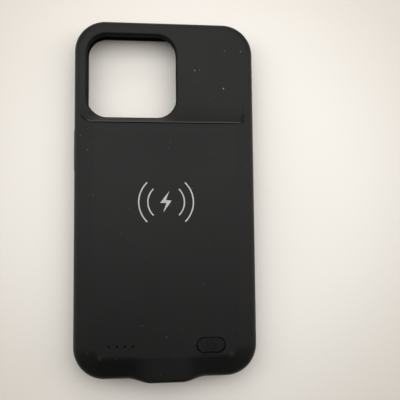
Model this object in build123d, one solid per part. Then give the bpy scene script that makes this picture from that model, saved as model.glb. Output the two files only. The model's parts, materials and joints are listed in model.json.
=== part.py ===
"""Battery charging case for a phone: a soft moulded shell round a flat battery box.

The case lies on its front lip with its back upwards. X runs across the phone, Y towards the
phone's top edge and Z out of the case's back. All sizes are in millimetres.
"""
from build123d import *
import os
from math import cos, radians, sin, tan

# Phone that the case holds
phone_width = 71.5
phone_length = 146.7
phone_thickness = 7.65
phone_corner_radius = 10.0
phone_clearance = 0.15

# Soft outer shell
side_wall = 3.35
top_wall = 2.8
bottom_wall = 5.0
lip_thickness = 1.2
lip_overhang = 2.0
lip_edge_chamfer = 0.9
lip_inner_chamfer = 0.4
camera_plate = 4.0
edge_radius = 3.4
back_skin = 1.25
hump_slope = 26.0
hump_blend_radius = 5.0

# Chin at the bottom edge, round the charging socket
chin_reach = 1.5
chin_crown_half = 6.5
chin_flank_half = 17.0
chin_crown_fall = 1.0
chin_edge_radius = 1.6
chin_sections = 5

# Camera opening
camera_side_margin = 5.3
camera_top_margin = 6.3
camera_width = 38.9
camera_height = 36.6
camera_corner_radius = 8.6
camera_rim_radius = 1.0

# Flex crease between the camera zone and the battery hump
camera_strip = 2.4
hump_nose_length = 4.2
hump_nose_drop = 0.9
scoop_length = 11.6
scoop_depth = 1.0
ramp_length = 6.0
ramp_sink = 0.1
scoop_foot_radius = 1.0
scoop_left_inset = 2.7
scoop_right_inset = 4.7
scoop_left_radius = 6.2
scoop_right_radius = 3.2
crease_rib = 0.45
crease_width = 0.4
crease_depth = 0.7
crease_left_end = 2.8
crease_right_end = 1.2

# Key covers and openings in the side walls, placed from the top edge
key_height = 4.2
key_proud = 0.45
key_edge_chamfer = 0.3
key_relief = 0.9
key_relief_height = 3.4
volume_length = 11.3
volume_up_from_top = 48.4
volume_down_from_top = 61.8
side_key_length = 19.4
side_key_from_top = 56.8
mute_from_top = 32.1
mute_length = 9.0
mute_height = 5.4
mute_bevel = 0.8
sound_slot_length = 12.0
sound_slot_height = 4.8
sound_slot_x = 23.5

# Battery bay, closed on the phone's side by a hard tray
bay_side_margin = 8.25
bay_end_margin = 2.2
bay_head_wall = 2.6
bay_corner_radius = 4.0
bay_ceiling_chamfer = 1.6
tray_thickness = 1.2
tray_ledge = 1.5
tray_gap = 0.12
tape_thickness = 0.2
tape_width = 8.0
cell_thickness = 3.75
cell_edge_radius = 1.5
cell_side_gap = 2.0
cell_end_gap = 1.4
ferrite_thickness = 0.25
ferrite_side = 46.0
coil_thickness = 0.45
coil_outer_radius = 21.0
coil_inner_radius = 9.5
coil_from_top = 80.3
stack_clearance = 0.1
lead_strip_width = 1.2
lead_strip_thickness = 0.2
lead_strip_spacing = 4.0

# Row of charge lights and the power button near the bottom edge
control_row_inset = 14.3
light_row_x = -19.15
light_pitch = 3.3
light_count = 4
light_hole_radius = 0.5
button_x = 18.6
button_length = 11.7
button_width = 6.0
button_drop = 0.3
button_gap = 0.45
button_proud = 0.1
button_crown_chamfer = 0.3
button_travel = 0.3
button_flange = 0.7
button_flange_thickness = 0.5
button_flange_gap = 0.08
button_post_radius = 1.6

# Main board and what it carries
board_standoff = 1.2
board_thickness = 0.8
board_edge_gap = 0.6
board_north_margin = 4.0
neck_half = 7.6
neck_length = 5.9
neck_ceiling_drop = 0.35
switch_side = 5.2
switch_height = 0.9
plunger_radius = 1.0
plunger_height = 0.55
plunger_depth = 0.45
plunger_clearance = 0.06
led_length = 1.6
led_width = 0.8
led_height = 0.6
guide_width = 2.6
guide_end = 1.7
guide_led_gap = 0.25
guide_ceiling_gap = 0.05
chip_side = 5.0
chip_height = 0.8
chip_x = 2.5
inductor_side = 4.2
inductor_height = 2.0
inductor_x = -5.0
capacitor_length = 1.6
capacitor_width = 0.8
capacitor_height = 0.8
capacitor_pitch = 2.2
capacitor_count = 4
screw_inset_x = 2.6
screw_head_radius = 1.2
screw_head_height = 0.5
screw_radius = 0.6
screw_clearance = 0.02
screw_length = 2.4
boss_wall = 0.7

# Cell protection board between the cell and the main board
guard_board_width = 3.4
guard_board_length = 24.0
guard_board_gap = 1.3
tab_width = 4.0
tab_thickness = 0.15
tab_spacing = 14.0
tab_overlap = 1.4
lead_hop_spacing = 3.6
lead_hop_rise = 1.4
lead_landing = 0.9

# Charging socket in the chin
socket_width = 8.94
socket_height = 3.26
socket_wall = 0.3
socket_length = 7.0
socket_lift = 0.1
socket_clearance = 0.2
socket_mouth_recess = 0.7
socket_mouth_width = 9.9
socket_mouth_height = 3.9
tongue_width = 6.7
tongue_thickness = 0.7
tongue_setback = 0.9
tongue_base_length = 1.6

# Plug that enters the phone, and the upright board behind it
plug_tab_width = 6.7
plug_tab_thickness = 1.5
plug_tab_length = 6.6
plug_tab_corner = 0.7
plug_collar_width = 11.0
plug_collar_height = 4.4
plug_collar_corner = 1.0
plug_collar_stand = 0.8
plug_fit = 0.1
plug_board_half = 7.2
plug_board_thickness = 0.8
plug_board_setback = 2.0
contact_count = 8
contact_width = 0.42
contact_length = 2.8
contact_depth = 0.12
contact_pitch = 0.72
contact_setback = 0.8

# Overlap that carries a cut past the face it starts from
past = 1.0

# Levels and edges that follow from the sizes above
body_width = phone_width + 2 * (phone_clearance + side_wall)
body_length = phone_length + 2 * phone_clearance + top_wall + bottom_wall
body_corner_radius = phone_corner_radius + phone_clearance + side_wall
body_half = body_width / 2
top_y = (body_length + chin_reach) / 2
bottom_y = top_y - body_length
chin_y = bottom_y - chin_reach
body_mid_y = (top_y + bottom_y) / 2
pocket_width = phone_width + 2 * phone_clearance
pocket_length = phone_length + 2 * phone_clearance
pocket_corner_radius = phone_corner_radius + phone_clearance
pocket_bottom = bottom_y + bottom_wall
pocket_ceiling = lip_thickness + phone_thickness + phone_clearance
phone_mid_z = lip_thickness + (phone_thickness + phone_clearance) / 2
upper_level = pocket_ceiling + camera_plate
tray_top = pocket_ceiling + tray_thickness
cell_floor = tray_top + tape_thickness
cell_top = cell_floor + cell_thickness
ferrite_top = cell_top + ferrite_thickness
bay_ceiling = ferrite_top + coil_thickness + stack_clearance
plateau_level = bay_ceiling + back_skin
slope_angle = radians(hump_slope)
edge_arc_level = upper_level - edge_radius
shoulder_rise = edge_radius * (cos(slope_angle) - (1 - sin(slope_angle)) * tan(slope_angle))
shoulder_level = edge_arc_level + shoulder_rise
slope_crest_y = bottom_y + (plateau_level - shoulder_level) / tan(slope_angle)
chin_root_y = slope_crest_y + hump_blend_radius * tan(slope_angle / 2) + past
hump_y = top_y - camera_top_margin - camera_height - camera_strip
scoop_head_y = hump_y + scoop_length
ramp_foot_y = hump_y + ramp_length
bay_half = body_half - bay_side_margin
bay_south = pocket_bottom + bay_end_margin
bay_north = hump_y - bay_head_wall
control_row_y = bottom_y + control_row_inset
button_row_y = control_row_y - button_drop
coil_y = top_y - coil_from_top
board_floor = tray_top + board_standoff
board_top = board_floor + board_thickness
board_south = bay_south + board_edge_gap
board_north = control_row_y + board_north_margin
board_half = bay_half - board_edge_gap
guard_south = board_north + guard_board_gap
guard_north = guard_south + guard_board_width
guard_top = cell_floor + board_thickness
cell_south = guard_north + board_edge_gap
cell_north = bay_north - cell_end_gap
cell_half = bay_half - cell_side_gap
neck_south = bay_south - neck_length
socket_mouth_y = chin_y + socket_mouth_recess
socket_back_y = socket_mouth_y + socket_length
socket_z = board_floor + board_thickness / 2 + socket_lift
socket_floor = socket_z - socket_height / 2
plug_board_front = pocket_bottom - plug_board_setback
plug_board_back = plug_board_front - plug_board_thickness
plug_collar_front = pocket_bottom + plug_collar_stand
plug_bottom = phone_mid_z - plug_collar_height / 2
light_xs = [light_row_x + light_pitch * (i - (light_count - 1) / 2) for i in range(light_count)]
screw_xs = [-(board_half - screw_inset_x), board_half - screw_inset_x]
component_row_y = (board_south + board_north) / 2


def block(x0, x1, y0, y1, z0, z1):
    """Rectangular solid between two corners."""
    size = Box(x1 - x0, y1 - y0, z1 - z0)
    return Pos((x0 + x1) / 2, (y0 + y1) / 2, (z0 + z1) / 2) * size


def plate(x0, x1, y0, y1, z0, z1, radius):
    """Flat solid with rounded upright corners."""
    plan = RectangleRounded(x1 - x0, y1 - y0, radius)
    return extrude(Pos((x0 + x1) / 2, (y0 + y1) / 2, z0) * plan, z1 - z0)


def body_plan(level):
    """Outline of the whole case without its chin, at one level."""
    return Pos(0, body_mid_y, level) * RectangleRounded(body_width, body_length, body_corner_radius)


def edges_at(solid, level):
    """Edges that lie flat at one level."""
    return [e for e in solid.edges() if abs(e.bounding_box().min.Z - level) < 1e-3
            and abs(e.bounding_box().max.Z - level) < 1e-3]


def along_x(profile, half):
    """Solid of a Y-Z profile, drawn across the case from -half to half."""
    return extrude(Plane.YZ * profile, amount=half, both=True)


def battery_hump():
    """Rear half of the case over the battery: upright walls, drafted slopes, a flat plateau and a
    ramp down to the camera zone."""
    walls = extrude(body_plan(0), shoulder_level)
    rise = plateau_level - shoulder_level
    roof = extrude(body_plan(shoulder_level), rise, taper=90 - hump_slope)
    hump = walls + roof
    hump = fillet(edges_at(hump, plateau_level), hump_blend_radius)
    hump = fillet(edges_at(hump, shoulder_level), edge_radius)
    hump = chamfer(edges_at(hump, 0), lip_edge_chamfer)
    hump = hump & block(-body_width, body_width, chin_y - past, ramp_foot_y, -past, plateau_level + past)
    nose_start = (hump_y - hump_nose_length, plateau_level)
    nose_end = (hump_y, plateau_level - hump_nose_drop)
    foot = (ramp_foot_y, upper_level - ramp_sink)
    crown = TangentArc(nose_start, nose_end, tangent=(1, 0))
    ramp = Spline(nose_end, foot, tangents=(crown % 1, (1, 0)))
    above = Polyline(foot, (ramp_foot_y + past, foot[1]), (ramp_foot_y + past, plateau_level + past),
                     (nose_start[0], plateau_level + past), nose_start)
    hump -= along_x(make_face(crown + ramp + above), body_width)
    return hump - block(-chin_flank_half, chin_flank_half, bottom_y - past, chin_root_y, -past,
                        plateau_level + past)


def camera_zone():
    """Lower, flat upper end of the case round the camera opening."""
    zone = extrude(body_plan(0), upper_level)
    zone = fillet(edges_at(zone, upper_level), edge_radius)
    zone = chamfer(edges_at(zone, 0), lip_edge_chamfer)
    return zone & block(-body_width, body_width, hump_y, top_y + past, -past, upper_level + past)


def end_profile(share):
    """Y-Z outline of the bottom end: the plain slope at a share of 0, the chin's tongue at 1."""
    end_y = bottom_y - share * chin_reach
    brow = shoulder_level + share * (plateau_level - chin_crown_fall - shoulder_level)
    crest = (slope_crest_y, plateau_level)
    outline = make_face(Polyline((chin_root_y, 0), (end_y, 0), (end_y, brow), crest,
                                 (chin_root_y, plateau_level), close=True))
    brow_radius = edge_radius + share * (chin_edge_radius - edge_radius)
    for corner, radius in (((end_y, brow), brow_radius), (crest, hump_blend_radius)):
        outline = fillet(outline.vertices().sort_by_distance(corner)[0], radius)
    return chamfer(outline.vertices().sort_by_distance((end_y, 0))[0], lip_edge_chamfer)


def chin():
    """Bottom end round the socket: a straight tongue between two S-curved flanks."""
    tongue = along_x(end_profile(1), chin_crown_half)
    for side in (-1, 1):
        sections = []
        for i in range(chin_sections):
            step = i / (chin_sections - 1)
            x = side * (chin_flank_half + step * (chin_crown_half - chin_flank_half))
            sections.append(Plane.YZ.offset(x) * end_profile(step * step * (3 - 2 * step)))
        tongue += loft(sections)
    return tongue


def scoop_plan():
    """Outline of the shallow scoop north of the battery hump, with rounded lower corners."""
    x0 = -body_half + scoop_left_inset
    x1 = body_half - scoop_right_inset
    plan = Pos((x0 + x1) / 2, hump_y + scoop_length / 2) * Rectangle(x1 - x0, scoop_length)
    corners = plan.vertices().group_by(Axis.Y)[0].sort_by(Axis.X)
    plan = fillet(corners[0], scoop_left_radius)
    corners = [v for v in plan.vertices() if abs(v.X - x1) < 1e-3]
    return fillet(ShapeList(corners).sort_by(Axis.Y)[0], scoop_right_radius)


def scoop():
    """Space of the scoop: its floor falls towards the hump and turns up at the wall."""
    head = (scoop_head_y, upper_level)
    foot = (hump_y, upper_level - scoop_depth)
    floor = TangentArc(head, foot, tangent=(-1, 0))
    above = Polyline(foot, (hump_y, plateau_level + past), (head[0], plateau_level + past), head)
    profile = make_face(floor + above)
    foot_vertex = profile.vertices().sort_by(lambda v: abs(v.X - foot[0]) + abs(v.Y - foot[1]))[0]
    profile = fillet(foot_vertex, scoop_foot_radius)
    return along_x(profile, body_width) & extrude(scoop_plan(), plateau_level + past)


def crease(body):
    """Thin groove along the top of the hump's wall, a constant depth below the surface."""
    plan = scoop_plan()
    band = offset(plan, crease_rib + crease_width) - offset(plan, crease_rib)
    half = Rectangle(body_width, scoop_length)
    reach = Pos(-body_half, hump_y + crease_left_end - scoop_length / 2) * half
    reach += Pos(body_half, hump_y + crease_right_end - scoop_length / 2) * half
    prism = extrude(Pos(0, 0, pocket_ceiling) * (band & reach), plateau_level)
    return prism - Pos(0, 0, -crease_depth) * body


def key_pad(side, from_top, length):
    """Raised cover over one of the phone's side keys."""
    pad = Plane.YZ * SlotOverall(length, key_height)
    pad = extrude(pad, side * (key_proud + side_wall / 2))
    tips = pad.faces().sort_by(Axis.X)[-1 if side > 0 else 0]
    pad = chamfer(tips.edges(), key_edge_chamfer)
    return Pos(side * (body_half - side_wall / 2), top_y - from_top, phone_mid_z) * pad


def key_relief_space(side, from_top, length):
    """Hollow behind a key cover, for the phone's own key."""
    hollow = block(-key_relief, key_relief, -length / 2, length / 2, -key_relief_height / 2,
                   key_relief_height / 2)
    return Pos(side * pocket_width / 2, top_y - from_top, phone_mid_z) * hollow


def mute_opening():
    """Bevelled slot in the right wall for the phone's ring switch."""
    slot = Plane.YZ * SlotOverall(mute_length, mute_height)
    slot = extrude(slot, side_wall + 2 * past)
    throat = Plane.YZ * SlotOverall(mute_length, mute_height)
    flare = Pos(side_wall + past - mute_bevel, 0, 0) * extrude(throat, 2 * mute_bevel, taper=-45)
    start = pocket_width / 2 - past
    return Pos(start, top_y - mute_from_top, phone_mid_z) * (slot + flare)


def outer_shell():
    """One-piece soft moulding: walls, front lip, back skin, camera zone, key covers and chin."""
    body = battery_hump() + camera_zone() + chin()
    body -= scoop()
    body -= crease(body)
    keys = [(1, volume_up_from_top, volume_length), (1, volume_down_from_top, volume_length),
            (-1, side_key_from_top, side_key_length)]
    for side, from_top, length in keys:
        body += key_pad(side, from_top, length)

    camera_x = -body_half + camera_side_margin + camera_width / 2
    camera_y = top_y - camera_top_margin - camera_height / 2
    hole = Pos(camera_x, camera_y, lip_thickness) * RectangleRounded(camera_width, camera_height,
                                                                    camera_corner_radius)
    body -= extrude(hole, upper_level)
    rim = [e for e in body.edges() if abs(e.center().X - camera_x) < camera_width / 2 + 1e-2
           and abs(e.center().Y - camera_y) < camera_height / 2 + 1e-2
           and e.bounding_box().min.Z > upper_level - scoop_depth - 1e-2
           and e.bounding_box().size.Z < scoop_depth]
    body = fillet(rim, camera_rim_radius)

    half = pocket_width / 2
    body -= plate(-half, half, pocket_bottom, pocket_bottom + pocket_length, lip_thickness,
                  pocket_ceiling, pocket_corner_radius)
    lip_half = half - lip_overhang
    body -= plate(-lip_half, lip_half, pocket_bottom + lip_overhang,
                  pocket_bottom + pocket_length - lip_overhang, -past, lip_thickness + past / 2,
                  pocket_corner_radius - lip_overhang)
    inner_lip = [e for e in edges_at(body, 0) if abs(e.center().X) < lip_half + 1e-2
                 and pocket_bottom + lip_overhang - 1e-2 < e.center().Y
                 < pocket_bottom + pocket_length - lip_overhang + 1e-2]
    body = chamfer(inner_lip, lip_inner_chamfer)
    for side, from_top, length in keys:
        body -= key_relief_space(side, from_top, length)
    body -= mute_opening()
    for side in (-1, 1):
        slot = Plane.XZ * SlotOverall(sound_slot_length, sound_slot_height)
        slot = extrude(slot, bottom_wall + 2 * past)
        body -= Pos(side * sound_slot_x, pocket_bottom + past, phone_mid_z) * slot

    seat = tray_ledge + tray_gap
    body -= plate(-bay_half - seat, bay_half + seat, bay_south - seat, bay_north + seat,
                  pocket_ceiling - past, tray_top, bay_corner_radius + seat)
    bay = plate(-bay_half, bay_half, bay_south, bay_north, pocket_ceiling, bay_ceiling,
                bay_corner_radius)
    body -= chamfer(bay.faces().sort_by(Axis.Z)[-1].edges(), bay_ceiling_chamfer)
    neck_ceiling = bay_ceiling - neck_ceiling_drop
    body -= block(-neck_half, neck_half, neck_south, bay_south + bay_ceiling_chamfer, tray_top,
                  neck_ceiling)

    slot_half = plug_board_half + plug_fit
    body -= block(-slot_half, slot_half, plug_board_back - plug_fit, plug_board_front + plug_fit,
                  plug_bottom - plug_fit, board_floor + plug_fit)
    collar = Plane.XZ * RectangleRounded(plug_collar_width + 2 * plug_fit,
                                         plug_collar_height + 2 * plug_fit,
                                         plug_collar_corner + plug_fit)
    collar = extrude(collar, plug_board_setback + past)
    body -= Pos(0, pocket_bottom + past, phone_mid_z) * collar
    port = Plane.XZ * SlotOverall(socket_width + 2 * socket_clearance, socket_height + 2 * socket_clearance)
    body -= Pos(0, neck_south + past, socket_z) * extrude(port, neck_south - chin_y + 2 * past)
    mouth = Plane.XZ * SlotOverall(socket_mouth_width, socket_mouth_height)
    body -= Pos(0, socket_mouth_y, socket_z) * extrude(mouth, socket_mouth_recess + past)

    for x in light_xs:
        drill = Cylinder(light_hole_radius, 2 * back_skin + past)
        body -= Pos(x, control_row_y, plateau_level) * drill
    opening = SlotOverall(button_length + 2 * button_gap, button_width + 2 * button_gap)
    body -= extrude(Pos(button_x, button_row_y, bay_ceiling - past) * opening, back_skin + 2 * past)
    return body


def inner_tray():
    """Hard plate between the phone and the battery, with bosses for the board's screws."""
    tray = plate(-bay_half - tray_ledge, bay_half + tray_ledge, bay_south - tray_ledge,
                 bay_north + tray_ledge, pocket_ceiling, tray_top, bay_corner_radius + tray_ledge)
    for x in screw_xs:
        boss = Cylinder(screw_radius + boss_wall, board_standoff)
        tray += Pos(x, component_row_y, tray_top + board_standoff / 2) * boss
        pilot = Cylinder(screw_radius + screw_clearance, 2 * (screw_length - board_thickness))
        tray -= Pos(x, component_row_y, board_floor) * pilot
    return tray


def battery_cell():
    """Flat pouch cell with rolled long edges."""
    cell = block(-cell_half, cell_half, cell_south, cell_north, cell_floor, cell_top)
    return fillet(cell.edges().filter_by(Axis.Y), cell_edge_radius)


def cell_tape():
    """Strips of adhesive tape under the cell and its protection board."""
    strips = []
    reach = cell_half - cell_edge_radius
    for y in (cell_south + tape_width, cell_north - tape_width):
        strips.append(block(-reach, reach, y - tape_width / 2, y + tape_width / 2, tray_top, cell_floor))
    strips.append(block(-guard_board_length / 2, guard_board_length / 2, guard_south, guard_north,
                        tray_top, cell_floor))
    return Compound(strips)


def protection_board():
    """Narrow board that guards the cell against overcharge."""
    return block(-guard_board_length / 2, guard_board_length / 2, guard_south, guard_north,
                 cell_floor, guard_top)


def cell_tabs():
    """Two nickel tabs from the cell's end face onto the protection board."""
    tabs = []
    for x in (-tab_spacing / 2, tab_spacing / 2):
        tabs.append(block(x - tab_width / 2, x + tab_width / 2, guard_north - tab_overlap, cell_south,
                          guard_top, guard_top + tab_thickness))
    return Compound(tabs)


def battery_leads():
    """Two flat strips that hop from the protection board to the main board."""
    strips = []
    start_y = guard_south + lead_landing
    end_y = board_north - lead_landing
    crest = board_top + lead_hop_rise
    thick = lead_strip_thickness
    hop = make_face(Polyline((start_y, guard_top), (start_y, crest), (end_y, crest), (end_y, board_top),
                             (end_y + thick, board_top), (end_y + thick, crest - thick),
                             (start_y - thick, crest - thick), (start_y - thick, guard_top), close=True))
    for x in (-lead_hop_spacing / 2, lead_hop_spacing / 2):
        strips.append((Pos(x, 0, 0) * along_x(hop, lead_strip_width / 2)).solid())
    return Compound(strips)


def ferrite_sheet():
    """Thin magnetic sheet between the charging coil and the cell."""
    half = ferrite_side / 2
    return block(-half, half, coil_y - half, coil_y + half, cell_top, ferrite_top)


def receiver_coil():
    """Flat charging coil, its turns bonded into one ring."""
    ring = Cylinder(coil_outer_radius, coil_thickness) - Cylinder(coil_inner_radius, coil_thickness)
    return Pos(0, coil_y, ferrite_top + coil_thickness / 2) * ring


def coil_leads():
    """Two flat leads from the coil's rim over the cell and down to the main board."""
    leads = []
    start_y = coil_y - coil_outer_radius
    drop_y = board_north - board_edge_gap - lead_landing
    thick = lead_strip_thickness
    strip = make_face(Polyline((start_y, ferrite_top), (drop_y, ferrite_top), (drop_y, board_top),
                               (drop_y - thick, board_top), (drop_y - thick, ferrite_top + thick),
                               (start_y, ferrite_top + thick), close=True))
    for x in (-lead_strip_spacing, lead_strip_spacing):
        leads.append((Pos(x, 0, 0) * along_x(strip, lead_strip_width / 2)).solid())
    return Compound(leads)


def main_board():
    """Control board with a forked neck that takes the charging socket in the chin."""
    corner = bay_corner_radius - board_edge_gap
    board = plate(-board_half, board_half, board_south, board_north, board_floor, board_top, corner)
    arm_half = neck_half - socket_clearance
    arm_south = neck_south + socket_clearance
    board += block(-arm_half, arm_half, arm_south, board_south + corner, board_floor, board_top)
    fork_half = socket_width / 2 + socket_clearance
    board -= block(-fork_half, fork_half, arm_south - past, socket_back_y + socket_clearance,
                   board_floor - past, board_top + past)
    for x in screw_xs:
        hole = Cylinder(screw_radius + screw_clearance, 4 * board_thickness)
        board -= Pos(x, component_row_y, board_floor) * hole
    return board


def board_screws():
    """Flat-head screws that hold the main board down on the tray's bosses."""
    screws = []
    for x in screw_xs:
        head = Pos(0, 0, screw_head_height / 2) * Cylinder(screw_head_radius, screw_head_height)
        shank = Pos(0, 0, -screw_length / 2) * Cylinder(screw_radius, screw_length)
        screws.append((Pos(x, component_row_y, board_top) * (head + shank)).solid())
    return Compound(screws)


def on_board(x, y, length, width, height):
    """Square-edged component standing on the main board."""
    return block(x - length / 2, x + length / 2, y - width / 2, y + width / 2, board_top, board_top + height)


def chip_capacitors():
    """Row of small capacitors beside the control chip."""
    row = []
    first_x = chip_x + chip_side / 2 + capacitor_pitch / 2
    for i in range(capacitor_count):
        y = component_row_y + capacitor_pitch * (i - (capacitor_count - 1) / 2)
        row.append(on_board(first_x, y, capacitor_length, capacitor_width, capacitor_height))
    return Compound(row)


def status_leds():
    """Chip lights under the light guide, one for each hole in the back."""
    return Compound([on_board(x, control_row_y, led_length, led_width, led_height) for x in light_xs])


def light_guide():
    """Clear bar between the chip lights and their holes, with a foot at each end."""
    x0 = light_xs[0] - guide_end
    x1 = light_xs[-1] + guide_end
    y0 = control_row_y - guide_width / 2
    y1 = control_row_y + guide_width / 2
    bar_floor = board_top + led_height + guide_led_gap
    bar_top = bay_ceiling - guide_ceiling_gap
    guide = block(x0, x1, y0, y1, bar_floor, bar_top)
    foot = (guide_end - led_length / 2) / 2
    guide += block(x0, x0 + foot, y0, y1, board_top, bar_floor)
    guide += block(x1 - foot, x1, y0, y1, board_top, bar_floor)
    return guide


def switch_body():
    """Low push switch under the power button, with a bore for its plunger."""
    body = on_board(button_x, button_row_y, switch_side, switch_side, switch_height)
    bore_depth = plunger_depth + button_travel + plunger_clearance
    bore = Cylinder(plunger_radius + plunger_clearance, 2 * bore_depth)
    return body - Pos(button_x, button_row_y, board_top + switch_height) * bore


def switch_plunger():
    """Plunger of the push switch."""
    height = plunger_height + plunger_depth
    top = board_top + switch_height + plunger_height
    return Pos(button_x, button_row_y, top - height / 2) * Cylinder(plunger_radius, height)


def power_button():
    """Stadium-shaped button cap with a retaining flange and a post onto the switch."""
    place = Pos(button_x, button_row_y, 0)
    flange_top = bay_ceiling - button_flange_gap
    flange_floor = flange_top - button_flange_thickness
    crown = plateau_level + button_proud
    cap = extrude(Pos(0, 0, flange_top) * SlotOverall(button_length, button_width), crown - flange_top)
    cap = chamfer(edges_at(cap, crown), button_crown_chamfer)
    rim = 2 * (button_gap + button_flange)
    flange = SlotOverall(button_length + rim, button_width + rim)
    cap += extrude(Pos(0, 0, flange_floor) * flange, button_flange_thickness)
    plunger_top = board_top + switch_height + plunger_height
    post_height = flange_floor - plunger_top
    cap += Pos(0, 0, plunger_top + post_height / 2) * Cylinder(button_post_radius, post_height)
    return place * cap


def charge_socket_shell():
    """Drawn metal tube of the charging socket, open towards the chin's end."""
    outside = Plane.XZ * SlotOverall(socket_width, socket_height)
    inside = Plane.XZ * SlotOverall(socket_width - 2 * socket_wall, socket_height - 2 * socket_wall)
    tube = extrude(outside, socket_length) - extrude(inside, socket_length)
    return Pos(0, socket_back_y, socket_z) * tube


def charge_socket_tongue():
    """Moulded tongue of the charging socket on the base that closes the tube's back."""
    base = Plane.XZ * SlotOverall(socket_width - 2 * socket_wall, socket_height - 2 * socket_wall)
    base = extrude(base, tongue_base_length)
    blade = Plane.XZ * Rectangle(tongue_width, tongue_thickness)
    blade = extrude(blade, socket_length - tongue_setback)
    return Pos(0, socket_back_y, socket_z) * (base + blade)


def plug_board():
    """Upright board behind the phone plug, notched under the charging socket."""
    board = block(-plug_board_half, plug_board_half, plug_board_back, plug_board_front, plug_bottom,
                  board_floor)
    notch_half = socket_width / 2 + socket_clearance
    return board - block(-notch_half, notch_half, plug_board_back - past, plug_board_front + past,
                         socket_floor - socket_clearance, board_floor + past)


def phone_plug_collar():
    """Plastic collar that seats the phone plug in the bottom wall."""
    collar = Plane.XZ * RectangleRounded(plug_collar_width, plug_collar_height, plug_collar_corner)
    collar = extrude(collar, plug_collar_front - plug_board_front)
    return Pos(0, plug_collar_front, phone_mid_z) * collar


def contact_pads(depth):
    """Contact strips on both faces of the plug's tab, to one depth."""
    pads = []
    tip_y = plug_collar_front + plug_tab_length - contact_setback
    for face in (-1, 1):
        surface = phone_mid_z + face * plug_tab_thickness / 2
        for i in range(contact_count):
            x = contact_pitch * (i - (contact_count - 1) / 2)
            low, high = sorted((surface, surface - face * depth))
            pads.append(block(x - contact_width / 2, x + contact_width / 2, tip_y - contact_length,
                              tip_y, low, high))
    return pads


def phone_plug_tab():
    """Flat metal tab that enters the phone, with rounded tip and pockets for its contacts."""
    half = plug_tab_width / 2
    low = phone_mid_z - plug_tab_thickness / 2
    tab = block(-half, half, plug_collar_front, plug_collar_front + plug_tab_length, low,
                low + plug_tab_thickness)
    tip = tab.edges().filter_by(Axis.Z).group_by(Axis.Y)[-1]
    tab = fillet(tip, plug_tab_corner)
    for pad in contact_pads(contact_depth):
        tab -= pad
    return tab


def phone_plug_contacts():
    """Gold-plated contact strips, flush in the tab."""
    return Compound([pad.solid() for pad in contact_pads(contact_depth)])


nodes = {
    "outer_shell": outer_shell(),
    "inner_tray": inner_tray(),
    "battery_cell": battery_cell(),
    "cell_tape": cell_tape(),
    "cell_tabs": cell_tabs(),
    "protection_board": protection_board(),
    "battery_leads": battery_leads(),
    "ferrite_sheet": ferrite_sheet(),
    "receiver_coil": receiver_coil(),
    "coil_leads": coil_leads(),
    "main_board": main_board(),
    "board_screws": board_screws(),
    "control_chip": on_board(chip_x, component_row_y, chip_side, chip_side, chip_height),
    "power_inductor": on_board(inductor_x, component_row_y, inductor_side, inductor_side, inductor_height),
    "chip_capacitors": chip_capacitors(),
    "status_leds": status_leds(),
    "light_guide": light_guide(),
    "switch_body": switch_body(),
    "switch_plunger": switch_plunger(),
    "power_button": power_button(),
    "charge_socket_shell": charge_socket_shell(),
    "charge_socket_tongue": charge_socket_tongue(),
    "plug_board": plug_board(),
    "phone_plug_collar": phone_plug_collar(),
    "phone_plug_tab": phone_plug_tab(),
    "phone_plug_contacts": phone_plug_contacts(),
}

os.makedirs("parts", exist_ok=True)
for name, solid in nodes.items():
    export_step(solid, f"parts/{name}.step")
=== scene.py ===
"""Looks of the battery charging case: its finishes, printed mark, dust, floor, light and camera.

The case is loaded as a fixed frame, and nothing here moves or resizes it. Sizes in the classes are
millimetres in the case's own frame: X across the phone, Y towards its top edge, Z out of its back.
"""
import json
import logging
import math
import random
from collections.abc import Mapping
from dataclasses import dataclass, replace
from enum import Enum
from typing import Any

import bmesh
import bpy
from mathutils import Euler, Matrix, Vector
from mathutils.bvhtree import BVHTree

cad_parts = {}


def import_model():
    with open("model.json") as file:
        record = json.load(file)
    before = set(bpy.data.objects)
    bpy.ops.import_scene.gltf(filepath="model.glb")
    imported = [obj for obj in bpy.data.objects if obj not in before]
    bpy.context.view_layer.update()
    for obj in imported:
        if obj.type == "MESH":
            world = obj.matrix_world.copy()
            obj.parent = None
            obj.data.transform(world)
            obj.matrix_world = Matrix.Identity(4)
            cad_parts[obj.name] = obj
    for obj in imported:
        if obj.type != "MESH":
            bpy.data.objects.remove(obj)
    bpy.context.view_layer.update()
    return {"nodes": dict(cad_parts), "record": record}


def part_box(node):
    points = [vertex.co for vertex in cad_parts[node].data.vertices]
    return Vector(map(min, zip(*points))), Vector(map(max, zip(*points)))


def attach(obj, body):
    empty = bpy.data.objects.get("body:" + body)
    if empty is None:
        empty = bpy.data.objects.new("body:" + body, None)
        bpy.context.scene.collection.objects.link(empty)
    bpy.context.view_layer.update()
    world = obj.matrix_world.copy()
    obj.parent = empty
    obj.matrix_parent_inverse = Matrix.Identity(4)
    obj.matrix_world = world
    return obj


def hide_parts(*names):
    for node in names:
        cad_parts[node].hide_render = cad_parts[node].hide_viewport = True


MM = 0.001
IMAGE_SIDE = 400
CASE_BODY = "case"
BUTTON_BODY = "button"

# Numbers of the Mix node's sockets, which share their names
MIX_FACTOR = 0
MIX_VALUE_A = 2
MIX_VALUE_B = 3
MIX_VALUE_OUT = 0
MIX_COLOUR_A = 6
MIX_COLOUR_B = 7
MIX_COLOUR_OUT = 2

# Scale of the wave texture over the number of its bands in a metre
WAVE_SCALE_PER_BAND = 1 / 6.3
# How a drawn surface's grain is stretched along the draw
DRAWN_STRETCH = (1.0, 0.04, 1.0)
EVEN_STRETCH = (1.0, 1.0, 1.0)
# Layers of noise in rough grain, and in the patches
GRAIN_DETAIL = 3.0
PATCH_DETAIL = 4.0
# Noise values between which a patch fades in
PATCH_SPAN = (0.35, 0.68)

log = logging.getLogger("charging_case")


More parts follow.
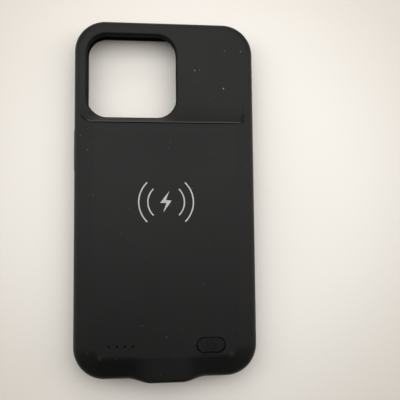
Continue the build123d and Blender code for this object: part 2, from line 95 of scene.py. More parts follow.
def linear(hex_colour: str) -> tuple[float, float, float, float]:
    """Turns an sRGB hex colour into linear light.

    Args:
        hex_colour: colour such as "#1c1b1b"

    Returns:
        Linear red, green and blue, with full alpha.
    """
    channels = [int(hex_colour[i:i + 2], 16) / 255 for i in (1, 3, 5)]
    light = [c / 12.92 if c <= 0.04045 else ((c + 0.055) / 1.055) ** 2.4 for c in channels]
    return (light[0], light[1], light[2], 1.0)


def per_metre(spacing_mm: float) -> float:
    """Pattern scale that repeats about once every spacing_mm."""
    return 1 / (spacing_mm * MM)


def add_node(
    tree: bpy.types.NodeTree,
    kind: str,
    settings: Mapping[str | int, Any] | None = None,
    links: Mapping[str | int, bpy.types.NodeSocket] | None = None,
) -> bpy.types.Node:
    """Adds one node, sets its values and links its inputs.

    Args:
        tree: node tree that takes the node
        kind: type name of the node
        settings: values by property name, or by the name or number of an input
        links: outputs of other nodes, by the name or number of the input that they feed

    Returns:
        The new node.
    """
    node = tree.nodes.new(kind)
    for key, value in (settings or {}).items():
        if isinstance(key, str) and hasattr(node, key):
            setattr(node, key, value)
        else:
            node.inputs[key].default_value = value
    for key, source in (links or {}).items():
        tree.links.new(source, node.inputs[key])
    return node


def make_piece(name: str, form: bmesh.types.BMesh, material: bpy.types.Material) -> bpy.types.Object:
    """Makes a scene object from a bmesh whose vertices are already in place.

    Args:
        name: name of the piece
        form: its shape in metres, freed here
        material: its finish

    Returns:
        The new object, at the origin.
    """
    mesh = bpy.data.meshes.new(name)
    form.to_mesh(mesh)
    form.free()
    mesh.materials.append(material)
    piece = bpy.data.objects.new(name, mesh)
    bpy.context.scene.collection.objects.link(piece)
    return piece


def box_mask(tree: bpy.types.NodeTree, place: bpy.types.NodeSocket, low: Vector, high: Vector,
             soft: Vector) -> bpy.types.NodeSocket:
    """Marks what lies inside a box.

    Args:
        tree: the material's nodes
        place: object coordinates
        low: lowest corner of the box, in metres
        high: highest corner of the box, in metres
        soft: width over which the mark fades in along each axis, in metres

    Returns:
        A value from 0, outside, to 1, well inside.
    """
    shift = add_node(tree, "ShaderNodeVectorMath", {"operation": "SUBTRACT", 1: (low + high) / 2},
                     {0: place})
    reach = add_node(tree, "ShaderNodeVectorMath", {"operation": "ABSOLUTE"}, {0: shift.outputs["Vector"]})
    past = add_node(tree, "ShaderNodeVectorMath", {"operation": "SUBTRACT", 1: (high - low) / 2},
                    {0: reach.outputs["Vector"]})
    depth = add_node(tree, "ShaderNodeVectorMath", {"operation": "DIVIDE", 1: soft},
                     {0: past.outputs["Vector"]})
    axes = add_node(tree, "ShaderNodeSeparateXYZ", links={"Vector": depth.outputs["Vector"]})
    side = add_node(tree, "ShaderNodeMath", {"operation": "MAXIMUM"},
                    {0: axes.outputs["X"], 1: axes.outputs["Y"]})
    edge = add_node(tree, "ShaderNodeMath", {"operation": "MAXIMUM"},
                    {0: side.outputs["Value"], 1: axes.outputs["Z"]})
    inside = add_node(tree, "ShaderNodeMapRange", {"From Min": 0.0, "From Max": -1.0},
                      {"Value": edge.outputs["Value"]})
    return inside.outputs["Result"]


def round_mask(tree: bpy.types.NodeTree, place: bpy.types.NodeSocket, middle: Vector, inner: float,
               outer: float) -> bpy.types.NodeSocket:
    """Marks what lies round a point.

    Args:
        tree: the material's nodes
        place: object coordinates
        middle: the point, in metres
        inner: radius within which the mark is full, in metres
        outer: radius where it has faded out, in metres

    Returns:
        A value from 0, beyond the outer radius, to 1, within the inner one.
    """
    away = add_node(tree, "ShaderNodeVectorMath", {"operation": "DISTANCE", 1: middle}, {0: place})
    near = add_node(tree, "ShaderNodeMapRange",
                    {"interpolation_type": "SMOOTHSTEP", "From Min": outer, "From Max": inner},
                    {"Value": away.outputs["Value"]})
    return near.outputs["Result"]


def facing_mask(tree: bpy.types.NodeTree, none: float, full: float) -> bpy.types.NodeSocket:
    """Marks faces by how far they face up.

    Args:
        tree: the material's nodes
        none: upward share of the normal where the mark is 0
        full: upward share of the normal where the mark is 1

    Returns:
        A value from 0 to 1.
    """
    facing = add_node(tree, "ShaderNodeSeparateXYZ",
                      links={"Vector": add_node(tree, "ShaderNodeNewGeometry").outputs["Normal"]})
    mark = add_node(tree, "ShaderNodeMapRange", {"From Min": none, "From Max": full},
                    {"Value": facing.outputs["Z"]})
    return mark.outputs["Result"]


class Grain(Enum):
    """How a surface was made, which decides its bump."""

    ETCHED = "etched"
    DRAWN = "drawn"
    CLOTH = "cloth"
    CAST = "cast"


@dataclass(frozen=True)
class Finish:
    """Finish of one material.

    Attributes:
        name: the real material and how its surface was made
        colour: sRGB hex of the clean surface
        shade: sRGB hex that its patches lean to
        roughness: roughness between its patches
        spread: how much rougher the patches are
        patch_mm: size of the patches
        grain: kind of bump
        grain_mm: spacing of the bump
        relief_mm: height of the bump
        metallic: 1 for bare metal
        ior: index of refraction, of no account on a metal
        gloss: strength of the mirror share, 0.5 for a plain smooth surface
    """

    name: str
    colour: str
    shade: str
    roughness: float
    spread: float = 0.08
    patch_mm: float = 6.0
    grain: Grain = Grain.ETCHED
    grain_mm: float = 0.3
    relief_mm: float = 0.01
    metallic: float = 0.0
    ior: float = 1.5
    gloss: float = 0.5

    def build(self) -> bpy.types.Material:
        """Makes the node material.

        Returns:
            A new material named for the finish.
        """
        material = bpy.data.materials.new(self.name)
        material.use_nodes = True
        tree = material.node_tree
        tree.nodes.clear()
        place = add_node(tree, "ShaderNodeTexCoord").outputs["Object"]
        shader = add_node(tree, "ShaderNodeBsdfPrincipled", self.constants(),
                          {"Normal": self.bump(tree, place)})
        self.paint(tree, place, shader)
        add_node(tree, "ShaderNodeOutputMaterial", links={"Surface": shader.outputs["BSDF"]})
        return material

    def constants(self) -> dict[str, float]:
        """Gives the shader values that are the same all over the surface.

        Returns:
            Values by the name of the shader's input.
        """
        values = {"Metallic": self.metallic}
        if not self.metallic:
            values |= {"IOR": self.ior, "Specular IOR Level": self.gloss}
        return values

    def bump(self, tree: bpy.types.NodeTree, place: bpy.types.NodeSocket) -> bpy.types.NodeSocket:
        """Adds the fine relief of the surface.

        Args:
            tree: the material's nodes
            place: object coordinates

        Returns:
            The bumped normal.
        """
        stretch = DRAWN_STRETCH if self.grain is Grain.DRAWN else EVEN_STRETCH
        laid = add_node(tree, "ShaderNodeMapping", {"Scale": stretch}, {"Vector": place})
        if self.grain is Grain.CLOTH:
            scale = per_metre(self.grain_mm) * WAVE_SCALE_PER_BAND
            relief = add_node(tree, "ShaderNodeTexWave", {"bands_direction": "DIAGONAL", "Scale": scale},
                              {"Vector": laid.outputs["Vector"]}).outputs["Fac"]
        else:
            detail = 0.0 if self.grain is Grain.CAST else GRAIN_DETAIL
            relief = add_node(tree, "ShaderNodeTexNoise",
                              {"Scale": per_metre(self.grain_mm), "Detail": detail},
                              {"Vector": laid.outputs["Vector"]}).outputs["Fac"]
        bump = add_node(tree, "ShaderNodeBump", {"Distance": self.relief_mm * MM}, {"Height": relief})
        return bump.outputs["Normal"]

    def patches(self, tree: bpy.types.NodeTree, place: bpy.types.NodeSocket) -> bpy.types.NodeSocket:
        """Adds the soft patches of handling and age.

        Args:
            tree: the material's nodes
            place: object coordinates

        Returns:
            A value from 0, clean, to 1, in the middle of a patch.
        """
        cloud = add_node(tree, "ShaderNodeTexNoise",
                         {"Scale": per_metre(self.patch_mm), "Detail": PATCH_DETAIL}, {"Vector": place})
        unmarked, full = PATCH_SPAN
        span = add_node(tree, "ShaderNodeMapRange",
                        {"interpolation_type": "SMOOTHSTEP", "From Min": unmarked, "From Max": full},
                        {"Value": cloud.outputs["Fac"]})
        return span.outputs["Result"]

    def paint(self, tree: bpy.types.NodeTree, place: bpy.types.NodeSocket, shader: bpy.types.Node) -> None:
        """Links colour and roughness to the shader.

        Args:
            tree: the material's nodes
            place: object coordinates
            shader: the material's main shader
        """
        patches = self.patches(tree, place)
        colour = add_node(tree, "ShaderNodeMix",
                          {"data_type": "RGBA", MIX_COLOUR_A: linear(self.colour),
                           MIX_COLOUR_B: linear(self.shade)}, {MIX_FACTOR: patches})
        rough = add_node(tree, "ShaderNodeMapRange",
                         {"To Min": self.roughness, "To Max": self.roughness + self.spread},
                         {"Value": patches})
        tree.links.new(colour.outputs[MIX_COLOUR_OUT], shader.inputs["Base Color"])
        tree.links.new(rough.outputs["Result"], shader.inputs["Roughness"])


@dataclass(frozen=True)
class SoftTouch(Finish):
    """Soft moulded elastomer that holds fine dust.

    Attributes:
        dust: sRGB hex of the fine dust
        dust_mm: spacing of the fine dust
        mote_mm: radius of one mote
        bare: share of the places for a mote that stay bare
        dust_facing: upward share of the normal where dust begins to lie, and where it all lies
    """

    dust: str = "#85837e"
    dust_mm: float = 2.6
    mote_mm: float = 0.11
    bare: float = 0.55
    dust_facing: tuple[float, float] = (0.5, 0.95)

    def motes(self, tree: bpy.types.NodeTree, place: bpy.types.NodeSocket) -> bpy.types.NodeSocket:
        """Adds motes of fine dust that lie on what faces up.

        Args:
            tree: the material's nodes
            place: object coordinates

        Returns:
            A value from 0, bare, to 1, on a bright mote.
        """
        cells = add_node(tree, "ShaderNodeTexVoronoi", {"Scale": per_metre(self.dust_mm)},
                         {"Vector": place})
        reach = self.mote_mm / self.dust_mm
        spot = add_node(tree, "ShaderNodeMapRange",
                        {"From Min": reach, "From Max": reach / 2, "interpolation_type": "SMOOTHSTEP"},
                        {"Value": cells.outputs["Distance"]})
        share = add_node(tree, "ShaderNodeSeparateColor", links={"Color": cells.outputs["Color"]})
        chosen = add_node(tree, "ShaderNodeMapRange", {"From Min": self.bare, "From Max": 1.0},
                          {"Value": share.outputs["Red"]})
        lit = add_node(tree, "ShaderNodeMath", {"operation": "MULTIPLY"},
                       {0: spot.outputs["Result"], 1: chosen.outputs["Result"]})
        lying = add_node(tree, "ShaderNodeMath", {"operation": "MULTIPLY"},
                         {0: lit.outputs["Value"], 1: facing_mask(tree, *self.dust_facing)})
        return lying.outputs["Value"]

    def paint(self, tree: bpy.types.NodeTree, place: bpy.types.NodeSocket, shader: bpy.types.Node) -> None:
        """Links colour, dust and roughness to the shader.

        Args:
            tree: the material's nodes
            place: object coordinates
            shader: the material's main shader
        """
        super().paint(tree, place, shader)
        skin = shader.inputs["Base Color"].links[0].from_socket
        dusty = add_node(tree, "ShaderNodeMix", {"data_type": "RGBA", MIX_COLOUR_B: linear(self.dust)},
                         {MIX_FACTOR: self.motes(tree, place), MIX_COLOUR_A: skin})
        tree.links.new(dusty.outputs[MIX_COLOUR_OUT], shader.inputs["Base Color"])


@dataclass(frozen=True)
class HighlightBox:
    """Box on the shell whose colour is painted paler: a painted highlight.

    Attributes:
        low: lowest corner of the place, in mm
        high: highest corner of the place, in mm
        soft_mm: width over which it fades in along each axis
        share: how far the colour goes towards the painted highlight colour
    """

    low: tuple[float, float, float]
    high: tuple[float, float, float]
    soft_mm: tuple[float, float, float]
    share: float

    def mask(self, tree: bpy.types.NodeTree, place: bpy.types.NodeSocket) -> bpy.types.NodeSocket:
        """Marks the place.

        Args:
            tree: the material's nodes
            place: object coordinates

        Returns:
            A value from 0, outside, to 1, well inside.
        """
        return box_mask(tree, place, Vector(self.low) * MM, Vector(self.high) * MM,
                        Vector(self.soft_mm) * MM)


@dataclass(frozen=True)
class HighlightSpot:
    """Round place on the shell whose colour is painted paler: a painted highlight.

    Attributes:
        middle: middle of the place, in mm
        radius_mm: where it has faded out
        share: how far the colour goes towards the painted highlight colour
    """

    middle: tuple[float, float, float]
    radius_mm: float
    share: float

    def mask(self, tree: bpy.types.NodeTree, place: bpy.types.NodeSocket) -> bpy.types.NodeSocket:
        """Marks the place.

        Args:
            tree: the material's nodes
            place: object coordinates

        Returns:
            A value from 0, outside, to 1, in the middle.
        """
        return round_mask(tree, place, Vector(self.middle) * MM, 0.0, self.radius_mm * MM)


# Top of the thin rib beside the flex crease, which stands proud; its colour is painted paler as a highlight
CREASE_RIB_HIGHLIGHT = HighlightBox((-35.0, 32.5, 14.5), (33.5, 33.6, 16.0), (1.5, 0.06, 0.2), 1.0)
# Narrow strip between the camera opening and that rib, painted paler as a highlight
OPENING_STRIP_HIGHLIGHT = HighlightBox((-35.0, 32.7, 11.0), (5.0, 35.8, 13.2), (7.0, 1.2, 0.4), 0.5)
# Lower corners of the battery hump, painted paler as highlights where its slopes meet
LEFT_CORNER_HIGHLIGHT = HighlightSpot((-27.9, -66.8, 15.8), 1.7, 0.36)
RIGHT_CORNER_HIGHLIGHT = HighlightSpot((27.4, -66.7, 15.8), 1.7, 0.36)


@dataclass(frozen=True)
class ShellSkin(SoftTouch):
    """The shell's elastomer, with a coarser wall round the camera opening whose colour is painted dark as
    shade, and places painted paler as highlights.

    Attributes:
        opening: lowest and highest corner of the opening's clear box, in metres
        rim_mm: how far the opening's wall and rim reach beyond that box
        shaded_wall: sRGB hex of the painted shade on the opening's wall, which keeps no dust
        wall_roughness: roughness of the wall, which the mould's core leaves coarse
        wall_facing: upward share of the normal where the coarse wall begins, and where it is full
        soft_mm: width over which the coarse zone fades out
        highlights: the places painted paler as highlights
        highlight_colour: sRGB hex of a painted highlight
    """

    opening: tuple[tuple[float, ...], ...] = ((0.0, 0.0, 0.0), (0.0, 0.0, 0.0))
    rim_mm: float = 3.6
    shaded_wall: str = "#030303"
    wall_roughness: float = 0.9
    wall_facing: tuple[float, float] = (0.9, 0.5)
    soft_mm: float = 0.4
    highlights: tuple[HighlightBox | HighlightSpot, ...] = (CREASE_RIB_HIGHLIGHT, OPENING_STRIP_HIGHLIGHT, LEFT_CORNER_HIGHLIGHT, RIGHT_CORNER_HIGHLIGHT)
    highlight_colour: str = "#403e3b"

    def coarse_shaded_wall(self, tree: bpy.types.NodeTree, place: bpy.types.NodeSocket) -> bpy.types.NodeSocket:
        """Finds the upright faces of the camera opening, which are made rougher and painted in shade.

        Args:
            tree: the material's nodes
            place: object coordinates

        Returns:
            A value from 0, elsewhere, to 1, on the opening's wall.
        """
        rim = Vector((1, 1, 1)) * self.rim_mm * MM
        low, high = (Vector(corner) for corner in self.opening)
        soft = Vector((1, 1, 1)) * self.soft_mm * MM
        inside = box_mask(tree, place, low - rim, high + rim, soft)
        shaded_wall = add_node(tree, "ShaderNodeMath", {"operation": "MULTIPLY"},
                        {0: inside, 1: facing_mask(tree, *self.wall_facing)})
        return shaded_wall.outputs["Value"]

    def paint(self, tree: bpy.types.NodeTree, place: bpy.types.NodeSocket, shader: bpy.types.Node) -> None:
        """Links colour, dust and roughness to the shader, with the painted highlights and the coarse wall
        in painted shade.

        Args:
            tree: the material's nodes
            place: object coordinates
            shader: the material's main shader
        """
        super().paint(tree, place, shader)
        colour = shader.inputs["Base Color"].links[0].from_socket
        # Painted highlights: the colour goes paler at the crease rib, the strip by the opening and the
        # hump's lower corners
        for highlight in self.highlights:
            part = add_node(tree, "ShaderNodeMath", {"operation": "MULTIPLY", 1: highlight.share},
                            {0: highlight.mask(tree, place)})
            highlighted = add_node(tree, "ShaderNodeMix",
                             {"data_type": "RGBA", MIX_COLOUR_B: linear(self.highlight_colour)},
                             {MIX_FACTOR: part.outputs["Value"], MIX_COLOUR_A: colour})
            colour = highlighted.outputs[MIX_COLOUR_OUT]
        # Painted shade: the opening's upright wall goes near black, as shadow falls in the opening; the
        # same mask makes the wall rougher
        shaded_wall = self.coarse_shaded_wall(tree, place)
        shaded = add_node(tree, "ShaderNodeMix", {"data_type": "RGBA", MIX_COLOUR_B: linear(self.shaded_wall)},
                        {MIX_FACTOR: shaded_wall, MIX_COLOUR_A: colour})
        tree.links.new(shaded.outputs[MIX_COLOUR_OUT], shader.inputs["Base Color"])
        skin = shader.inputs["Roughness"].links[0].from_socket
        rough = add_node(tree, "ShaderNodeMix", {MIX_VALUE_B: self.wall_roughness},
                         {MIX_FACTOR: shaded_wall, MIX_VALUE_A: skin})
        tree.links.new(rough.outputs[MIX_VALUE_OUT], shader.inputs["Roughness"])


@dataclass(frozen=True)
class Board(Finish):
    """Painted board with painted shade: its colour goes a little greyer away from the case, where the light
    falls off.

    Attributes:
        falloff_shade: sRGB hex of the painted shade on the board away from the case
        middle: middle of the part without painted shade, in mm
        fully_lit_mm: radius of the part without painted shade
        falloff_mm: radius from which the painted shade is full
    """

    falloff_shade: str = "#d6d0c8"
    middle: tuple[float, float, float] = (19.0, 4.0, 0.0)
    fully_lit_mm: float = 55.0
    falloff_mm: float = 145.0

    def paint(self, tree: bpy.types.NodeTree, place: bpy.types.NodeSocket, shader: bpy.types.Node) -> None:
        """Links colour and roughness to the shader, and paints shade into the colour away from the case.

        Args:
            tree: the material's nodes
            place: object coordinates
            shader: the material's main shader
        """
        super().paint(tree, place, shader)
        unmarked = shader.inputs["Base Color"].links[0].from_socket
        # Painted shade: the board's colour greys away from the case, as the light falls off
        near = round_mask(tree, place, Vector(self.middle) * MM, self.fully_lit_mm * MM, self.falloff_mm * MM)
        board = add_node(tree, "ShaderNodeMix", {"data_type": "RGBA", MIX_COLOUR_A: linear(self.falloff_shade)},
                         {MIX_FACTOR: near, MIX_COLOUR_B: unmarked})
        tree.links.new(board.outputs[MIX_COLOUR_OUT], shader.inputs["Base Color"])


# Soft-touch elastomer from an etched mould: near black, broad dull gloss, and it holds dust. The grain of
# both elastomers is drawn coarser than a real one, so that it shows
SOFT_SHELL = ShellSkin("etched_soft_elastomer", "#0f0f0f", "#121111", 0.39, patch_mm=30.0, grain_mm=0.35,
                       relief_mm=0.006, gloss=0.2)
# The same elastomer on the button, which shows a little darker and duller
SOFT_BUTTON = SoftTouch("darker_soft_elastomer", "#0d0d0d", "#0f0f0f", 0.39, patch_mm=8.0, grain_mm=0.35,
                        relief_mm=0.006, gloss=0.17)

FINISHES: dict[str, Finish] = {
    "soft_shell": SOFT_SHELL,
    "button_cap": SOFT_BUTTON,
    # Hard plastic from an etched mould: black with a tight, even sparkle
    "hard_tray": Finish("etched_abs", "#222223", "#2a2a2b", 0.48, grain_mm=0.25, relief_mm=0.02, ior=1.54),
    # Laminated foil pouch: dull silver with creases that scatter the light
    "cell_foil": Finish("laminated_foil", "#c6c8ca", "#b4b6ba", 0.34, 0.12, 14.0, Grain.CAST, 5.0, 0.06,
                        1.0),
    # Double-sided tape: cream paper liner colour, dull
    "tape": Finish("adhesive_tape", "#d9d4c2", "#cfc7b0", 0.75, grain_mm=0.5, relief_mm=0.02),
    # Rolled nickel strip: warm grey with rolling lines
    "nickel": Finish("rolled_nickel", "#c2b9a8", "#aca28f", 0.3, 0.1, 3.0, Grain.DRAWN, 0.2, 0.01, 1.0),
    # Solder-masked glass laminate: green with the cloth's weave just showing
    "circuit_board": Finish("masked_glass_laminate", "#1d5a33", "#18492a", 0.4, 0.1, 4.0, Grain.CLOTH, 0.5,
                            0.01),
    # Sintered ferrite: charcoal grey, fine and dull
    "ferrite": Finish("sintered_ferrite", "#3c3c3e", "#47474a", 0.6, grain_mm=0.2, relief_mm=0.01),
    # Enamelled copper: red-brown metal under clear enamel
    "copper": Finish("enamelled_copper", "#c47a4d", "#a9623a", 0.28, 0.1, 4.0, Grain.DRAWN, 0.2, 0.01, 1.0),
    # Zinc-plated steel: bluish bright metal with turning lines
    "screw_steel": Finish("zinc_plated_steel", "#c3c6cb", "#a8abb0", 0.3, 0.12, 1.0, Grain.DRAWN, 0.1, 0.01,
                          1.0),
    # Moulded epoxy resin: black and fine-grained
    "moulded_chip": Finish("moulded_epoxy", "#1f1f20", "#272728", 0.55, grain_mm=0.15, relief_mm=0.01,
                           ior=1.55),
    # Fired ceramic: tan, dull, with slight unevenness
    "ceramic": Finish("fired_ceramic", "#b79a72", "#a58760", 0.5, 0.1, 0.6, Grain.CAST, 0.3, 0.01, ior=1.6),
    # White resin of a chip light: milky and half glossy
    "led_body": Finish("white_resin", "#efece0", "#e4dfcc", 0.35, 0.1, 0.5, Grain.CAST, 0.3, 0.005),
    # Acrylic light guide, coloured near black as painted shade, so an unlit light hole reads as black
    "clear_guide": Finish("acrylic_in_painted_shade", "#0c0c0d", "#101011", 0.3, 0.1, 2.0, Grain.CAST, 1.0, 0.005,
                          ior=1.49, gloss=0.1),
    # Drawn steel with nickel plating: bright, with lines along the draw
    "socket_steel": Finish("nickel_plated_steel", "#c9c8c4", "#b3b1ab", 0.25, 0.12, 2.0, Grain.DRAWN, 0.15,
                           0.01, 1.0),
    # Gold plating over nickel: warm yellow and smooth
    "gold_contact": Finish("gold_plating", "#e0b95f", "#cfa348", 0.22, 0.1, 0.6, Grain.CAST, 0.4, 0.005,
                           1.0),
}

# Screen-printed ink: light grey, dull, a little thin in places
INK = Finish("screen_printed_ink", "#b9b9b8", "#acacab", 0.6, 0.1, 2.5, Grain.CAST, 0.4, 0.004)
# House dust: pale grey fluff
DUST = Finish("house_dust", "#cfcdc7", "#b9b7b1", 0.95, 0.0, 0.4, Grain.CAST, 0.1, 0.01)
# Painted board under the case: warm white, dead flat, with painted shade that greys it a little away from
# the case
FLOOR = Board("board_with_painted_falloff", "#f1ede7", "#efebe5", 0.85, 0.05, 220.0, Grain.ETCHED, 0.8, 0.004)


def ring_stroke(
    form: bmesh.types.BMesh,
    centre: Vector,
    radius: float,
    stroke: float,
    height: float,
    start: float,
    sweep: float,
    steps: int,
) -> None:
    """Adds part of a flat ring, spun from its own cross-section.

    Args:
        form: bmesh that takes the ring
        centre: middle of the ring, on its lower face
        radius: middle radius of the stroke
        stroke: width of the stroke
        height: thickness of the ring
        start: angle where the ring starts, from +X
        sweep: angle that the ring covers
        steps: facets along the ring
    """
    along = Vector((math.cos(start), math.sin(start), 0))
    up = Vector((0, 0, height))
    inner = centre + along * (radius - stroke / 2)
    outer = centre + along * (radius + stroke / 2)
    section = form.faces.new([form.verts.new(p) for p in (inner, outer, outer + up, inner + up)])
    geometry = [section, *section.edges, *section.verts]
    bmesh.ops.spin(form, geom=geometry, cent=centre, axis=(0, 0, 1), angle=sweep, steps=steps,
                   use_duplicate=False)


def flat_plate(form: bmesh.types.BMesh, corners: list[Vector], height: float) -> None:
    """Adds a flat plate with straight sides.

    Args:
        form: bmesh that takes the plate
        corners: corners of its lower face, in order
        height: thickness of the plate
    """
    face = form.faces.new([form.verts.new(p) for p in corners])
    raised = bmesh.ops.extrude_face_region(form, geom=[face])
    top = [v for v in raised["geom"] if isinstance(v, bmesh.types.BMVert)]
    bmesh.ops.translate(form, vec=(0, 0, height), verts=top)


@dataclass
class ChargeMark:
    """Charge pictogram printed on the back: a bolt between waves.

    Attributes:
        bolt: corners of the bolt from the mark's middle
        wave_radii: middle radii of the waves on each side
        wave_half_angle: half of the angle that a wave covers, in degrees
        stroke: width of a wave
        film: thickness of the ink above the skin
        root: how far the ink reaches into the skin
        steps: facets along a wave
    """

    bolt: tuple[tuple[float, float], ...] = (
        (1.4, 4.75), (-2.55, -0.3), (0.05, -0.4), (-1.3, -4.5), (2.3, 0.6), (-0.15, 0.9))
    wave_radii: tuple[float, ...] = (7.8, 11.65)
    wave_half_angle: float = 46.0
    stroke: float = 0.56
    film: float = 0.02
    root: float = 0.01
    steps: int = 40

    def build(self) -> bpy.types.Object:
        """Prints the mark over the charging coil.

        Returns:
            The ink, riding on the case.
        """
        coil_low, coil_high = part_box("receiver_coil")
        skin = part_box("outer_shell")[1].z
        middle = (coil_low + coil_high) / 2
        middle.z = skin - self.root * MM
        height = (self.film + self.root) * MM
        form = bmesh.new()
        flat_plate(form, [middle + Vector((x * MM, y * MM, 0)) for x, y in self.bolt], height)
        half = math.radians(self.wave_half_angle)
        for side in (0.0, math.pi):
            for radius in self.wave_radii:
                ring_stroke(form, middle, radius * MM, self.stroke * MM, height, side - half, 2 * half,
                            self.steps)
        bmesh.ops.recalc_face_normals(form, faces=form.faces)
        piece = make_piece("charge_mark", form, INK.build())
        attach(piece, CASE_BODY)
        return piece


@dataclass
class PowerButton:
    """Button cap with the power pictogram pressed into its crown.

    Attributes:
        ring_radius: middle radius of the pictogram's ring
        ring_gap: half of the angle that the ring leaves open at its top, in degrees
        bar: lower and upper end of the bar, from the ring's middle
        stroke: width of the lines
        depth: how deep they are pressed
        steps: facets along the ring
        weld: distance below which corners of the cap are one
        crisp: angle above which an edge shows, in degrees
    """

    ring_radius: float = 1.75
    ring_gap: float = 40.0
    bar: tuple[float, float] = (0.0, 2.2)
    stroke: float = 0.62
    depth: float = 0.3
    steps: int = 40
    weld: float = 0.001
    crisp: float = 30.0

    def stamp(self, crown: Vector, material: bpy.types.Material) -> bpy.types.Object:
        """Makes the pictogram's stamp, half sunk into the crown.

        Args:
            crown: middle of the crown
            material: the cap's finish

        Returns:
            A closed piece that is cut away from the cap.
        """
        form = bmesh.new()
        seat = crown - Vector((0, 0, self.depth * MM))
        height = 2 * self.depth * MM
        gap = math.radians(self.ring_gap)
        ring_stroke(form, seat, self.ring_radius * MM, self.stroke * MM, height, math.pi / 2 + gap,
                    math.tau - 2 * gap, self.steps)
        low, high = self.bar
        half = self.stroke / 2
        outline = ((-half, low), (half, low), (half, high), (-half, high))
        flat_plate(form, [seat + Vector((x * MM, y * MM, 0)) for x, y in outline], height)
        bmesh.ops.recalc_face_normals(form, faces=form.faces)
        return make_piece("pictogram_stamp", form, material)

    def build(self, cap: bpy.types.Object) -> bpy.types.Object:
        """Copies the cap and presses the pictogram into it.

        Args:
            cap: the button's own node

        Returns:
            The pressed cap, which stands for the node and moves with the button.
        """
        low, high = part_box("power_button")
        crown = (low + high) / 2
        crown.z = high.z
        material = SOFT_BUTTON.build()
        form = bmesh.new()
        form.from_mesh(cap.data)
        bmesh.ops.remove_doubles(form, verts=form.verts, dist=self.weld * MM)
        piece = make_piece("pressed_button", form, material)
        stamp = self.stamp(crown, material)
        cut = piece.modifiers.new("pictogram", "BOOLEAN")
        cut.operation = "DIFFERENCE"
        cut.solver = "EXACT"
        cut.object = stamp
        pressed = piece.evaluated_get(bpy.context.evaluated_depsgraph_get())
        mesh = bpy.data.meshes.new_from_object(pressed)
        piece.modifiers.clear()
        piece.data = mesh
        mesh.attributes.remove(mesh.attributes["custom_normal"])
        mesh.shade_smooth()
        mesh.set_sharp_from_angle(angle=math.radians(self.crisp))
        bpy.data.objects.remove(stamp)
        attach(piece, BUTTON_BODY)
        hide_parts("power_button")
        return piece


class Speck(Enum):
    """Bright flakes of dust: column and row of the photograph's square frame, and radius in mm."""

    CAMERA_SIDE = (194.5, 70.5, 0.26)
    CAMERA_SIDE_SMALL = (199.5, 70.0, 0.18)
    CAMERA_CORNER = (223.5, 88.7, 0.25)
    TOP_CORNER = (240.5, 51.6, 0.27)
    TOP_MIDDLE = (224.5, 51.5, 0.20)
    LEFT_SHOULDER = (80.7, 135.5, 0.16)
    LEFT_SLOPE = (87.5, 149.7, 0.18)
    LEFT_SIDE = (93.5, 195.0, 0.13)
    UPPER_BACK = (170.3, 142.0, 0.14)
    RIGHT_SHOULDER = (210.3, 153.5, 0.15)
    RIGHT_OF_MARK = (209.0, 242.0, 0.12)
    UNDER_MARK = (186.0, 250.0, 0.06)
    RIGHT_BACK = (210.0, 272.0, 0.06)
    LOWER_RIGHT = (203.5, 284.5, 0.16)
    LOW_LEFT = (142.0, 326.0, 0.15)
    LOW_MIDDLE = (166.5, 337.5, 0.12)
    LOW_RIGHT = (181.5, 330.0, 0.12)
    BY_BUTTON = (200.0, 321.0, 0.08)
    BOTTOM_CORNER = (87.0, 354.0, 0.13)


